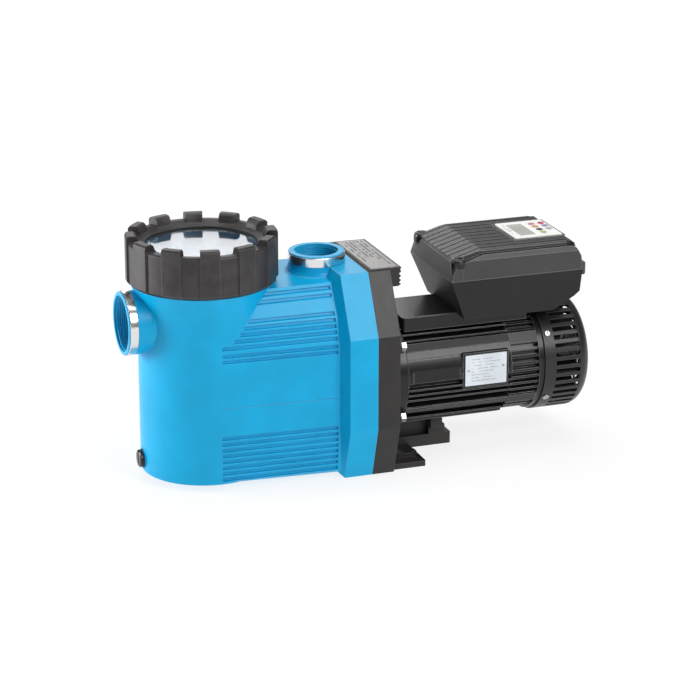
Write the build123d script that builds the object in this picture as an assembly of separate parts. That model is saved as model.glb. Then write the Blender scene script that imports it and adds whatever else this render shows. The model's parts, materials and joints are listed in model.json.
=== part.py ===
from build123d import *
import math
import os

# Driving dimensions, in millimetres. While the pieces are made, x = 0 is the
# discharge axis, +X runs towards the motor and the pump stands at FLOOR_Z; MID_X
# and FLOOR_Z then move it so that the origin lies under its middle, on the floor.
SUCTION_X = -274.0
FAN_END_X = 379.0
MID_X = (SUCTION_X + FAN_END_X) / 2
AXIS_Z = 122.0
FLOOR_Z = 5.0

# Strainer tank, its neck, lid and union ring
TANK_X = -161.0
TANK_R = 88.0
TANK_BORE_R = 80.0
TANK_BOTTOM_Z = 14.5
TANK_FLOOR_Z = 22.0
COLLAR_R = 97.0
COLLAR_Z = 277.0
NECK_R = 90.5
NECK_TOP_Z = 318.0
LEDGE_Z = 180.0
LEDGE_R = 75.0
RING_R = 102.0
RING_PANEL_R = 99.6
RING_BOTTOM_Z = 278.0
RING_TOP_Z = 344.0
RING_PADS = 12
RING_OPENING_R = 76.0
RING_BORE_R = 92.0
LID_R = 88.0
LID_BOTTOM_Z = NECK_TOP_Z + 0.3
LID_TOP_Z = 327.0

# Ports
SUCTION_Z = 227.0
SUCTION_NECK_R = 43.0
SUCTION_INSERT_R = 41.5
SUCTION_SOCKET_R = 40.8
SUCTION_RING_R = 44.0
SUCTION_BORE_R = 37.6
SUCTION_END_X = -243.0
DISCHARGE_Z = 302.0
DISCHARGE_NECK_R = 38.2
DISCHARGE_INSERT_R = 36.6
DISCHARGE_SOCKET_R = 35.0
DISCHARGE_RING_R = 39.0
DISCHARGE_BORE_R = 29.8
DISCHARGE_END_Z = 266.0
PORT_RIM = 1.8
SUCTION_RING_LENGTH = 11.5
DISCHARGE_RING_LENGTH = 13.0
SOCKET_TAPER = 0.8
SUCTION_SEAT_X = SUCTION_X + PORT_RIM + SUCTION_RING_LENGTH
DISCHARGE_SEAT_Z = DISCHARGE_Z - PORT_RIM - DISCHARGE_RING_LENGTH

# Casing behind the tank: half-width and height pairs, from the floor up
BODY_FRONT_X = -163.0
BODY_REAR_X = 4.0
BODY_AT_TANK = [(83, 15.5), (87, 19), (88, 60), (88, 203), (80.5, 231), (71, 258), (62, 274)]
BODY_AT_FLANGE = [(90, 13.5), (94, 17), (97.6, 60), (97.6, 195), (87, 229), (71, 258), (62, 274)]
CHAMBER_FRONT_X = -125.0
CHAMBER_AT_TANK = [(76, 24), (81, 31), (81.5, 60), (81.5, 196), (73, 226), (63, 254), (54, 265)]
CHAMBER_AT_FLANGE = [(80, 22), (86, 29), (89.5, 60), (89.5, 190), (79, 224), (63, 254), (54, 265)]
BEVEL_FRONT = [(90, 12), (98, 78), (98, 201), (64, 274)]
FLANGE = [(95, FLOOR_Z), (118, 77), (118, 207), (77, 287)]
FLANGE_FRONT_X = 7.5
FLANGE_REAR_X = 47.0
ADAPTOR_REAR_X = 78.4
GASKET_DEPTH = 2.0

# Decorative grooves in the casing sides
GROOVE_DEPTH = 3.4
GROOVE_OUTER = 6.2
GROOVE_INNER = 3.4
GROOVE_REAR_X = -2.5
LOWER_GROOVES = [21.5 + 8.3 * k for k in range(8)]
UPPER_GROOVES = [187.0, 194.7] + [205.0 + 7.9 * k for k in range(5)] + [258.5, 267.5]
PARTING_Z = 122.0
DRAIN_X = -249.5
DRAIN_Z = 33.0

# Motor
SHAFT_R = 10.0
NOSE_R = 8.0
TAIL_R = 7.0
CORE_SHAFT_R = 14.0
BEARING_R = 23.5
BEARING_WIDTH = 14.0
FRONT_BEARING_X = 88.0
REAR_BEARING_X = 268.0
SHIELD_R = 76.0
SHIELD_REAR_X = 107.0
BOLT_SEAT_X = 98.0
FRAME_REAR_X = 259.0
BARREL_R = 67.0
STATOR_R = 62.0
AIR_GAP_R = 43.0
FIN_R = 78.0
FRAME_R = FIN_R + 0.8
CHEEK_R = 77.0
PLATE_SEAT_Y = 76.4
REAR_SHIELD_X = 303.0
FAN_COVER_X = 308.0
FAN_COVER_R = 80.6
FAN_COVER_WALL = 2.5
TIE_ANGLE = 35.0
TIE_R = 71.0

# Inverter
BASE_BOTTOM_Z = 203.0
BRACKET_TOP_Z = 206.5
SEAM_Z = 260.5
COVER_TOP_Z = 300.0
COVER_FRONT_X = 167.0
KEYPAD = (277.0, 347.0)
KEYPAD_HALF = 39.0
KEYPAD_Z = 301.4
KEY_R = 4.4
KEY_TRAVEL_FLOOR_Z = 296.8
KEYS = {
    "key_red": (340.0, 21.5),
    "key_rose": (325.5, 21.5),
    "key_orange": (325.5, 7.5),
    "key_violet": (340.0, 7.5),
    "key_dark": (325.5, -7.5),
    "key_grey": (340.0, -7.5),
    "key_olive": (325.5, -21.5),
}

# Foot
FOOT_HALF = 89.0
FOOT_REAR_X = 127.5
FOOT_THICK = 8.0
TONGUE_REAR_X = 193.0
TONGUE_HALF = 15.5
SLOT_X = 120.5
SLOT_Y = 70.0
SLOT_R = 4.5
SLOT_LENGTH = 18.0

BOTTOM = (Align.CENTER, Align.CENTER, Align.MIN)


# ---------------------------------------------------------------- helpers
def block(x0, x1, y0, y1, z0, z1):
    """Box between two corners."""
    centre = Pos((x0 + x1) / 2, (y0 + y1) / 2, (z0 + z1) / 2)
    return centre * Box(x1 - x0, y1 - y0, z1 - z0)


def cyl_x(r, x0, x1, y=0.0, z=AXIS_Z):
    """Cylinder along X, on the motor axis unless told otherwise."""
    return Plane(origin=(x0, y, z), z_dir=(1, 0, 0)) * Cylinder(r, x1 - x0, align=BOTTOM)


def tube_x(r_out, r_in, x0, x1):
    """Tube along X on the motor axis."""
    return cyl_x(r_out, x0, x1) - cyl_x(r_in, x0 - 1, x1 + 1)


def cyl_y(r, y0, y1, x, z):
    """Cylinder along Y."""
    return Plane(origin=(x, y0, z), z_dir=(0, 1, 0)) * Cylinder(r, y1 - y0, align=BOTTOM)


def cyl_z(r, z0, z1, x=0.0, y=0.0):
    """Upright cylinder."""
    return Pos(x, y, z0) * Cylinder(r, z1 - z0, align=BOTTOM)


def lathe_x(points, z=AXIS_Z):
    """Turned piece from (x, radius) points, about a line along X."""
    return Pos(0, 0, z) * revolve(Plane.XZ * Polygon(*points, align=None), Axis.X)


def lathe_z(points, x=0.0, arc=360.0):
    """Turned piece from (radius, z) points, about an upright line."""
    return Pos(x, 0, 0) * revolve(Plane.XZ * Polygon(*points, align=None), Axis.Z, arc)


def outline(half):
    """Closed (y, z) outline, the same on both sides, from half-width and height pairs."""
    return [(w, z) for w, z in half] + [(-w, z) for w, z in reversed(half)]


def yz_face(points, x):
    """Face in the plane at x from (y, z) points."""
    plane = Plane(origin=(x, 0, 0), x_dir=(0, 1, 0), z_dir=(1, 0, 0))
    return plane * Polygon(*points, align=None)


def prism_x(points, x0, x1):
    """(y, z) outline extruded along X."""
    return extrude(yz_face(points, x0), amount=x1 - x0, dir=(1, 0, 0))


def prism_y(points, y0, y1):
    """(x, z) outline extruded along Y."""
    face = Pos(0, y0, 0) * (Plane.XZ * Polygon(*points, align=None))
    return extrude(face, amount=y1 - y0, dir=(0, 1, 0))


def loft_x(*stations):
    """Straight-sided solid through (x, outline) stations."""
    return loft([yz_face(points, x).face() for x, points in stations], ruled=True)


def around(count, shape, z=AXIS_Z, start=0.0):
    """Copies of a shape turned about the motor axis."""
    steps = [Pos(0, 0, z) * Rot(start + 360.0 * k / count, 0, 0) * Pos(0, 0, -z) for k in range(count)]
    return [step * shape for step in steps]


def joined(shapes):
    """Union of a list."""
    return shapes[0] + shapes[1:]


def group(shapes):
    """Separate solids kept in one node."""
    return Compound(children=[solid for shape in shapes for solid in shape.solids()])


def hexagon_x(flats, x0, x1, y, z):
    """Hexagonal head along X, measured across its flats."""
    radius = flats / math.sqrt(3)
    points = [(y + radius * math.cos(math.radians(60 * k)), z + radius * math.sin(math.radians(60 * k)))
              for k in range(6)]
    return prism_x(points, x0, x1)


# ---------------------------------------------------------------- wet end
def profile_width(profile, z):
    """Half-width of a casing profile at one height."""
    for (w0, z0), (w1, z1) in zip(profile, profile[1:]):
        if z <= z1:
            return w0 + (w1 - w0) * (z - z0) / (z1 - z0)
    return profile[-1][0]


def casing_width(x, z):
    """Half-width of the casing side at x and z."""
    t = (x - BODY_FRONT_X) / (BODY_REAR_X - BODY_FRONT_X)
    return (1 - t) * profile_width(BODY_AT_TANK, z) + t * profile_width(BODY_AT_FLANGE, z)


def groove_start(z):
    """Where the casing side comes out of the round tank at one height."""
    if z < PARTING_Z + 1:
        return BODY_FRONT_X
    width = min(casing_width(-140.0, z), TANK_R)
    return max(BODY_FRONT_X, TANK_X + math.sqrt(TANK_R ** 2 - width ** 2))


def groove(z, depth, outer, inner, side):
    """Cutter for one lengthwise groove in a casing side."""
    def section(x):
        corners = [(-outer / 2, 1.5), (-inner / 2, -depth), (inner / 2, -depth), (outer / 2, 1.5)]
        return [(side * (casing_width(x, z + up) + out), z + up) for up, out in corners]
    return loft_x((groove_start(z), section(groove_start(z))), (GROOVE_REAR_X, section(GROOVE_REAR_X)))


def casing_grooves():
    """All grooves and the parting line, on both sides."""
    cutters = []
    for side in (-1, 1):
        for z in LOWER_GROOVES + UPPER_GROOVES:
            cutters.append(groove(z, GROOVE_DEPTH, GROOVE_OUTER, GROOVE_INNER, side))
        cutters.append(groove(PARTING_Z, 0.7, 1.6, 0.8, side))
    return cutters


def tank_outside():
    """Round tank with its rounded bottom, flared collar and threaded neck."""
    tank = cyl_z(TANK_R, TANK_BOTTOM_Z, COLLAR_Z, TANK_X)
    tank = fillet(tank.edges().group_by(Axis.Z)[0], 3)
    flare_start = 236.0
    curve = ThreePointArc((TANK_R, flare_start), (TANK_R + 2.3, 257.0), (COLLAR_R, COLLAR_Z))
    rest = Polyline((COLLAR_R, COLLAR_Z), (70, COLLAR_Z), (70, flare_start), (TANK_R, flare_start))
    flare = Pos(TANK_X, 0, 0) * revolve(Plane.XZ * make_face([curve, rest]), Axis.Z)
    neck = cyl_z(NECK_R, COLLAR_Z - 1, NECK_TOP_Z, TANK_X)
    return tank + flare + neck


def pump_housing():
    """Moulded tank and pump casing in one piece, with a socket at each port."""
    body = loft_x((BODY_FRONT_X, outline(BODY_AT_TANK)), (BODY_REAR_X, outline(BODY_AT_FLANGE)))
    tank = tank_outside()
    bevel = loft_x((0.0, outline(BEVEL_FRONT)), (FLANGE_FRONT_X, outline(FLANGE)))
    flange = prism_x(outline(FLANGE), FLANGE_FRONT_X, FLANGE_REAR_X)
    suction = lathe_x([(SUCTION_SEAT_X, 0), (SUCTION_SEAT_X, SUCTION_NECK_R), (-243, SUCTION_NECK_R),
                       (-232, SUCTION_NECK_R + 2), (-225, SUCTION_NECK_R + 5), (-221, SUCTION_NECK_R + 5),
                       (-221, 0)], z=SUCTION_Z)
    discharge = lathe_z([(0, 260), (44, 260), (44, 274), (41, 276), (39, 280), (DISCHARGE_NECK_R, 284),
                         (DISCHARGE_NECK_R, DISCHARGE_SEAT_Z), (0, DISCHARGE_SEAT_Z)])
    outside = body + [tank, bevel, flange, suction, discharge]
    outside = outside - casing_grooves()

    chamber = loft_x((CHAMBER_FRONT_X, outline(CHAMBER_AT_TANK)), (BODY_REAR_X, outline(CHAMBER_AT_FLANGE)))
    chamber += prism_x(outline(CHAMBER_AT_FLANGE), BODY_REAR_X - 1, FLANGE_REAR_X + 1)
    chamber -= cyl_z(TANK_R, 0, 330, TANK_X)
    chamber -= cyl_x(46, TANK_X, -62)
    inside = [
        chamber,
        cyl_z(TANK_BORE_R, TANK_FLOOR_Z, LEDGE_Z - 4, TANK_X),
        cyl_z(LEDGE_R, TANK_FLOOR_Z, LEDGE_Z + 1, TANK_X),
        cyl_z(TANK_BORE_R, LEDGE_Z, NECK_TOP_Z + 1, TANK_X),
        lathe_x([(SUCTION_SEAT_X, 0)] + suction_taper() + [(SUCTION_END_X, 0)], z=SUCTION_Z),
        cyl_x(35.5, SUCTION_END_X - 1, TANK_X, z=SUCTION_Z),
        lathe_z([(0, DISCHARGE_SEAT_Z)] + discharge_taper() + [(0, DISCHARGE_END_Z)]),
        cyl_z(27.5, 250, DISCHARGE_END_Z + 1),
        cyl_x(34.5, TANK_X + 20, -50),
    ]
    outside = outside - inside
    outside = outside - gasket_ring()
    boss = cyl_x(14, DRAIN_X, -236, z=DRAIN_Z)
    boss -= cyl_z(TANK_BORE_R, 0, 60, TANK_X)
    side_boss = cyl_y(14, 88, 110, 27, 32)
    outside = outside + [boss, side_boss]
    holes = [cyl_x(9, -252, -230, z=DRAIN_Z), cyl_y(9, 70, 112, 27, 32)]
    holes += [cyl_x(4, 22, FLANGE_REAR_X + 1, y, z) for y, z in adaptor_screw_places()]
    return outside - holes


def gasket_ring():
    """Flat ring round the open rear of the casing chamber."""
    inner = Plane.YZ * Polygon(*outline(CHAMBER_AT_FLANGE), align=None)
    ring = offset(inner, 5.8) - offset(inner, 2.2)
    return Pos(FLANGE_REAR_X - GASKET_DEPTH, 0, 0) * extrude(ring, amount=GASKET_DEPTH, dir=(1, 0, 0))


def adaptor_screw_places():
    """Centres (y, z) of the screws that clamp the adaptor to the casing."""
    half = [(107, 95), (107, 190), (42, 277.5), (55, 12)]
    return [(side * y, z) for y, z in half for side in (-1, 1)]


def suction_taper():
    """Points (x, r) of the tapered face between the suction insert and its socket."""
    return [(SUCTION_SEAT_X, SUCTION_SOCKET_R), (SUCTION_END_X, SUCTION_SOCKET_R - SOCKET_TAPER)]


def discharge_taper():
    """Points (r, z) of the tapered face between the discharge insert and its socket."""
    return [(DISCHARGE_SOCKET_R, DISCHARGE_SEAT_Z), (DISCHARGE_SOCKET_R - SOCKET_TAPER, DISCHARGE_END_Z)]


def suction_insert():
    """Threaded insert bonded into the suction socket, with a rim in front of the band."""
    x0 = SUCTION_X + PORT_RIM
    rim = SUCTION_RING_R - 1.2
    profile = [(SUCTION_X, SUCTION_BORE_R), (SUCTION_X, rim - 0.6), (SUCTION_X + 0.6, rim), (x0, rim),
               (x0, SUCTION_INSERT_R), (SUCTION_SEAT_X, SUCTION_INSERT_R)]
    return lathe_x(profile + suction_taper() + [(SUCTION_END_X, SUCTION_BORE_R)], z=SUCTION_Z)


def discharge_insert():
    """Threaded insert bonded into the discharge socket, with a rim above the band."""
    z1 = DISCHARGE_Z - PORT_RIM
    rim = DISCHARGE_RING_R - 1.2
    profile = [(DISCHARGE_BORE_R, DISCHARGE_Z), (rim - 0.6, DISCHARGE_Z), (rim, DISCHARGE_Z - 0.6), (rim, z1),
               (DISCHARGE_INSERT_R, z1), (DISCHARGE_INSERT_R, DISCHARGE_SEAT_Z)]
    return lathe_z(profile + discharge_taper() + [(DISCHARGE_BORE_R, DISCHARGE_END_Z)])


def suction_ring():
    """Stainless band round the suction port."""
    x0 = SUCTION_X + PORT_RIM
    x1 = SUCTION_SEAT_X
    edge = SUCTION_RING_R - 0.8
    return lathe_x([(x0, SUCTION_INSERT_R), (x0, edge), (x0 + 0.8, SUCTION_RING_R), (x1 - 0.8, SUCTION_RING_R),
                    (x1, edge), (x1, SUCTION_INSERT_R)], z=SUCTION_Z)


def discharge_ring():
    """Stainless band round the discharge port."""
    z0 = DISCHARGE_SEAT_Z
    z1 = DISCHARGE_Z - PORT_RIM
    edge = DISCHARGE_RING_R - 0.8
    return lathe_z([(DISCHARGE_INSERT_R, z0), (edge, z0), (DISCHARGE_RING_R, z0 + 0.8),
                    (DISCHARGE_RING_R, z1 - 0.8), (edge, z1), (DISCHARGE_INSERT_R, z1)])


def strainer_lid():
    """Clear lid with a stepped rim, a spigot and a seal groove."""
    profile = [(0, 320.5), (73.5, 320.5), (73.5, 310), (79.4, 310), (79.4, LID_BOTTOM_Z),
               (81.5, LID_BOTTOM_Z), (81.5, LID_BOTTOM_Z + 3), (86.5, LID_BOTTOM_Z + 3), (86.5, LID_BOTTOM_Z),
               (LID_R, LID_BOTTOM_Z), (LID_R, LID_TOP_Z), (75, LID_TOP_Z), (73.5, 324.8), (69, 324.8),
               (67.5, 326.2), (0, 326.2)]
    return lathe_z(profile, TANK_X)


def lid_seal():
    """Flat rubber ring in the lid's groove."""
    return lathe_z([(81.5, LID_BOTTOM_Z), (86.5, LID_BOTTOM_Z), (86.5, LID_BOTTOM_Z + 3),
                    (81.5, LID_BOTTOM_Z + 3)], TANK_X)


def lid_ring():
    """Union ring with raised grip pads that stand up as lugs."""
    inner_z = LID_TOP_Z + 0.3
    ring = lathe_z([(RING_BORE_R, RING_BOTTOM_Z), (97, RING_BOTTOM_Z), (RING_PANEL_R, 281),
                    (RING_PANEL_R, 332.5), (97.6, 335), (90, 335), (79, 330), (RING_OPENING_R, 329),
                    (RING_OPENING_R, inner_z), (RING_BORE_R, inner_z)])
    pad_width = 15.0
    pad = lathe_z([(94, RING_BOTTOM_Z), (98.6, RING_BOTTOM_Z), (RING_R, 282), (RING_R, 341),
                   (99.5, RING_TOP_Z), (90.5, RING_TOP_Z), (87.5, 342.3), (85, 338), (83, 331), (94, 331)],
                  arc=pad_width)
    pitch = 360.0 / RING_PADS
    for k in range(RING_PADS):
        ring += Rot(0, 0, 20.0 + pitch * k - pad_width / 2) * pad
    return Pos(TANK_X, 0, 0) * ring


def strainer_basket():
    """Perforated debris basket with a moulded handle."""
    shell = lathe_z([(0, 26), (68, 26), (70, 28), (73, LEDGE_Z - 1), (73.5, LEDGE_Z + 0.3),
                     (78, LEDGE_Z + 0.3), (78, LEDGE_Z + 4), (70.6, LEDGE_Z + 4), (67.6, 29.5), (0, 29.5)])
    slots = []
    for tier in range(4):
        z0 = 36 + 35 * tier
        for k in range(12):
            slots.append(Rot(0, 0, 15 * k) * block(-80, 80, -2.2, 2.2, z0, z0 + 27))
    for radius, count in ((20, 6), (40, 12), (57, 18)):
        for k in range(count):
            turn = math.radians(360 * k / count)
            slots.append(cyl_z(3.5, 22, 32, radius * math.cos(turn), radius * math.sin(turn)))
    slots.append(cyl_z(3.5, 22, 32))
    shell = shell - slots
    hoop = cyl_x(72, -6, 6, z=LEDGE_Z + 2) - cyl_x(67, -7, 7, z=LEDGE_Z + 2)
    hoop -= block(-8, 8, -80, 80, LEDGE_Z - 80, LEDGE_Z + 2)
    return Pos(TANK_X, 0, 0) * (shell + hoop)


def drain_plug(along_y=False):
    """Screw plug with a round slotted head, made with its head towards -X."""
    plug = lathe_x([(-6, 0), (-6, 10.5), (-4.8, 12), (-1.5, 12), (-1.5, 10), (-0.3, 10), (-0.3, 8.7),
                    (9, 8.7), (10, 7.7), (10, 0)], z=0)
    plug -= block(-7, -3.5, -1.5, 1.5, -13, 13)
    if along_y:
        return Pos(27, 110, 32) * Rot(0, 0, -90) * plug
    return Pos(DRAIN_X, 0, DRAIN_Z) * plug


def drain_seal(along_y=False):
    """O-ring under a drain plug's head."""
    seal = lathe_x([(-1.5, 10), (-1.5, 12.6), (-0.3, 13), (-0.3, 10)], z=0)
    if along_y:
        return Pos(27, 110, 32) * Rot(0, 0, -90) * seal
    return Pos(DRAIN_X, 0, DRAIN_Z) * seal


def diffuser():
    """Stationary shell round the impeller, with an inlet nose and guide vanes."""
    shell = lathe_x([(-72, 28), (-72, 34.4), (-42, 34.4), (-41, 36), (-40, 74), (-38, 75),
                     (FLANGE_REAR_X, 75), (FLANGE_REAR_X, 71), (-34, 71), (-36, 60), (-36, 28)])
    windows = around(9, block(22, 40, -11, 11, AXIS_Z + 60, AXIS_Z + 80))
    shell = shell - windows
    vanes = around(9, block(-30, 16, -1.5, 1.5, AXIS_Z + 60.5, AXIS_Z + 72), start=20)
    shell = shell + vanes
    return shell - tube_x(36, 32.8, -66.5, -63)


def diffuser_seal():
    """O-ring between the diffuser's nose and the tank wall."""
    return tube_x(34.5, 32.8, -66.5, -63)


def impeller():
    """Closed impeller with curved vanes."""
    front = lathe_x([(-34, 23.5), (-34, 26.8), (-23, 26.8), (-19, 30), (-15, 57), (-12.5, 57), (-16, 30),
                     (-20, 23.5)])
    back = lathe_x([(2, 8), (2, 57), (5, 57), (5, 20), (12, 14), (27, 14), (27, 8)])
    hub = lathe_x([(-14, 8), (-14, 12), (2, 18), (3, 18), (3, 8)])
    plane = Plane(origin=(-18, 0, AXIS_Z), x_dir=(0, 1, 0), z_dir=(1, 0, 0))
    arc = Pos(32, 0) * (Circle(33) - Circle(30))
    reach = arc & (Circle(56.5) - Circle(16))
    blade = reach & (Pos(30, -30) * Rectangle(80, 60))
    vane = extrude(plane * blade, amount=21, dir=(1, 0, 0))
    vane -= lathe_x([(-40, 0), (-40, 80), (-14, 80), (-14.3, 57), (-17.8, 30), (-20, 23.5), (-20, 0)])
    return joined([front, back, hub] + around(6, vane))


def impeller_nut():
    """Domed nut on the nose of the shaft."""
    nut = hexagon_x(17, -24, -15, 0, AXIS_Z)
    nut += lathe_x([(-29, 0), (-29, 3), (-27, 6), (-24, 7.5), (-24, 0)])
    return nut - cyl_x(6, -22, -14)


def seal_seat():
    """Stationary ceramic ring of the shaft seal."""
    return tube_x(19, 11.2, 48.5, 56)


def seal_head():
    """Turning carbon face, bellows and spring coils of the shaft seal."""
    collar = tube_x(16, SHAFT_R, 27.5, 31)
    bellows = lathe_x([(31, SHAFT_R), (31, 13), (40, 13), (41, 15), (48.1, 15), (48.1, SHAFT_R)])
    rings = [tube_x(15.2, 13, x, x + 1.6) for x in (32.5, 35.5, 38.0)]
    return joined([collar, bellows] + rings)


def adaptor():
    """Octagonal seal housing between casing and motor, ribbed at the rear."""
    plate_rear_x = 57.0
    solid = prism_x(outline(FLANGE), FLANGE_REAR_X, ADAPTOR_REAR_X)
    inset = Plane.YZ * Polygon(*outline(FLANGE), align=None)
    pocket = Pos(plate_rear_x, 0, 0) * extrude(offset(inset, -7), amount=40, dir=(1, 0, 0))
    pocket -= cyl_x(92, 50, 90)
    ribs = [block(50, 90, -3, 3, AXIS_Z - 150, AXIS_Z + 170)]
    ribs += [Pos(0, 0, AXIS_Z) * Rot(turn, 0, 0) * block(50, 90, -3, 3, -170, 170) for turn in (30, 62, -30, -62, 90)]
    pocket = pocket - ribs
    solid -= pocket
    hub_hole = cyl_x(60, plate_rear_x, 80)
    solid -= hub_hole
    solid -= cyl_x(19, 40, 60)
    ledge = prism_y([(70, 262), (92, 262), (96, 264.5), (93, 267), (96, 270), (93, 273), (96, 276),
                     (93, 279), (96, 282), (94, 287), (70, 287)], -72, 72)
    solid += ledge - prism_x(outline(FLANGE), 40, ADAPTOR_REAR_X)
    solid += block(50, 96, -72, 72, 286, 288.2)
    screw_holes = [cyl_x(4, 40, plate_rear_x + 1, y, z) for y, z in adaptor_screw_places()]
    head_room = [cyl_x(8.5, plate_rear_x, 80, y, z) for y, z in adaptor_screw_places()]
    bolt_holes = [cyl_x(4, 62, 80, y, z) for y, z in shield_bolt_places()]
    recess = block(52, 94.4, -70.4, 70.4, 287.4, 289)
    return solid - screw_holes - head_room - bolt_holes - recess


def adaptor_screws():
    """Hexagon-head screws from the rear of the adaptor into the casing."""
    screws = []
    for y, z in adaptor_screw_places():
        screws.append(cyl_x(4, 23, 57, y, z) + hexagon_x(13, 57, 62.3, y, z))
    return group(screws)


def pump_nameplate():
    """Metal plate on top of the adaptor."""
    plate = block(52.4, 94, -70, 70, 287.4, 288.9)
    return fillet(plate.edges().filter_by(Axis.Z), 2)


def support_foot():
    """Foot plate with slotted holes and raised pads, and a tongue that carries the motor."""
    top = FLOOR_Z + FOOT_THICK
    plate = block(ADAPTOR_REAR_X, FOOT_REAR_X, -FOOT_HALF, FOOT_HALF, FLOOR_Z, top)
    foot = fillet(plate.edges().filter_by(Axis.Z).group_by(Axis.X)[-1], 2)
    for side in (-1, 1):
        foot += prism_y([(ADAPTOR_REAR_X, 10), (124, 10), (124, 18), (106, 18), (98, 22), (ADAPTOR_REAR_X, 44)],
                        side * 60 - 8, side * 60 + 8)
    tongue = block(ADAPTOR_REAR_X, TONGUE_REAR_X, -TONGUE_HALF, TONGUE_HALF, FLOOR_Z, 21.5)
    foot += fillet(tongue.edges().filter_by(Axis.Z).group_by(Axis.X)[-1], 2)
    foot += block(ADAPTOR_REAR_X, 184, -4, 4, 20, 60)
    saddle = block(160, 184, -TONGUE_HALF, TONGUE_HALF, 20, 34) + block(160, 177, -24, 24, 32, 60)
    foot += saddle
    foot -= cyl_x(FRAME_R, 60, 200)
    slot = SlotOverall(SLOT_LENGTH, 2 * SLOT_R, rotation=90)
    for side in (-1, 1):
        foot -= Pos(SLOT_X, side * SLOT_Y, 0) * extrude(slot, amount=50, dir=(0, 0, 1))
    return foot


# ---------------------------------------------------------------- motor
def shaft():
    """Stepped steel shaft from the impeller to the fan."""
    return lathe_x([(-22, 0), (-22, 5.9), (-14, 5.9), (-14, NOSE_R), (27, NOSE_R), (27, SHAFT_R),
                    (120, SHAFT_R), (120, CORE_SHAFT_R), (250, CORE_SHAFT_R), (250, SHAFT_R), (300, SHAFT_R),
                    (300, TAIL_R), (341, TAIL_R), (342, TAIL_R - 1), (342, 0)])


def bearing_ring(x0, r_out, r_in):
    """One race of a ball bearing."""
    return tube_x(r_out, r_in, x0, x0 + BEARING_WIDTH)


def bearing_balls():
    """Balls of both bearings, resting on their inner races."""
    ball_r = 2.9
    balls = []
    for x0 in (FRONT_BEARING_X, REAR_BEARING_X):
        ball = Pos(x0 + BEARING_WIDTH / 2, 0, AXIS_Z + 13.5 + ball_r) * Sphere(ball_r)
        balls += around(9, ball)
    return group(balls)


def shield_bolt_places():
    """Centres (y, z) of the bolts that hold the motor to the adaptor."""
    return [(side * 64, AXIS_Z + up * 51) for side in (-1, 1) for up in (-1, 1)]


def drive_end_shield():
    """Cast shield at the drive end, with bearing seat, spigot and bolt ears."""
    body = lathe_x([(72, 14), (72, 60), (ADAPTOR_REAR_X, 60), (ADAPTOR_REAR_X, SHIELD_R - 1), (80, SHIELD_R),
                    (SHIELD_REAR_X, SHIELD_R), (SHIELD_REAR_X, BARREL_R), (86, BARREL_R), (84, 30), (104, 30),
                    (104, BEARING_R), (FRONT_BEARING_X, BEARING_R), (FRONT_BEARING_X, 14)])
    ears = [cyl_x(10, ADAPTOR_REAR_X, BOLT_SEAT_X, y, z) for y, z in shield_bolt_places()]
    body = body + ears
    body -= cyl_x(BARREL_R, 86, SHIELD_REAR_X + 1) - cyl_x(30.5, 80, SHIELD_REAR_X + 2)
    for y, z in shield_bolt_places():
        body -= cyl_x(4, 60, 100, y, z) + cyl_x(8.5, BOLT_SEAT_X, SHIELD_REAR_X + 1, y, z)
    return body - [cyl_x(3, 101, SHIELD_REAR_X + 1, y, z) for y, z in tie_rod_places()]


def shield_bolts():
    """Hexagon-head bolts through the shield's ears."""
    places = shield_bolt_places()
    return group([cyl_x(4, 63, BOLT_SEAT_X, y, z) + hexagon_x(13, BOLT_SEAT_X, 105.5, y, z) for y, z in places])


def tie_rod_places():
    """Centres (y, z) of the tie rods through the motor's side bosses."""
    turn = math.radians(TIE_ANGLE)
    return [(side * TIE_R * math.cos(turn), AXIS_Z + up * TIE_R * math.sin(turn))
            for side in (-1, 1) for up in (-1, 1)]


def frame_section():
    """Cross-section of the finned stator frame, about the shaft."""
    section = Circle(BARREL_R)
    fin = 2.4
    for level in (-59.4, -41.7, -26.5, -18.5, -10.5, 53.6, 60.3, 67.0):
        reach = math.sqrt(FIN_R ** 2 - level ** 2)
        section += Pos(0, level) * Rectangle(2 * reach, fin)
    for across in (-36, -24, -12, 0, 12, 24, 36):
        reach = math.sqrt(FIN_R ** 2 - across ** 2)
        section += Pos(across, -reach / 2) * Rectangle(fin, reach)
    section += Circle(CHEEK_R) & (Pos(0, 20.5) * Rectangle(2 * FRAME_R, 44))
    for side in (-1, 1):
        section += Rot(0, 0, side * 36.3) * Pos(side * 71, 0) * Rectangle(14.4, 12)
        section += Rot(0, 0, -side * TIE_ANGLE) * Pos(side * 69, 0) * Rectangle(14, 12)
        section -= Rot(0, 0, side * 24) * Pos(side * CHEEK_R, 0) * Rectangle(4, 1.8)
    return section & Circle(FRAME_R)


def motor_frame():
    """Extruded aluminium frame with fins, smooth cheeks, plate seats and tie-rod bosses."""
    plane = Plane(origin=(SHIELD_REAR_X, 0, AXIS_Z), x_dir=(0, 1, 0), z_dir=(1, 0, 0))
    section = frame_section() - Circle(STATOR_R)
    frame = extrude(plane * section, amount=FRAME_REAR_X - SHIELD_REAR_X, dir=(1, 0, 0))
    frame -= block(186, 253, -FRAME_R - 1, FRAME_R + 1, 106, 156)
    frame += block(186, 253, -PLATE_SEAT_Y, PLATE_SEAT_Y, 106, 156)
    for side in (-1, 1):
        frame -= Pos(0, side * CHEEK_R, 0) * block(114, 182, -1.6, 1.6, 119, 139.8)
    return frame - cyl_x(STATOR_R, 100, 270) - [cyl_x(3, 100, 270, y, z) for y, z in tie_rod_places()]


def stator_core():
    """Laminated ring with slots facing the rotor."""
    core = tube_x(STATOR_R, AIR_GAP_R, 130, 240)
    slots = around(24, block(129, 241, -2, 2, AXIS_Z + 40, AXIS_Z + 53))
    return core - slots


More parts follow.
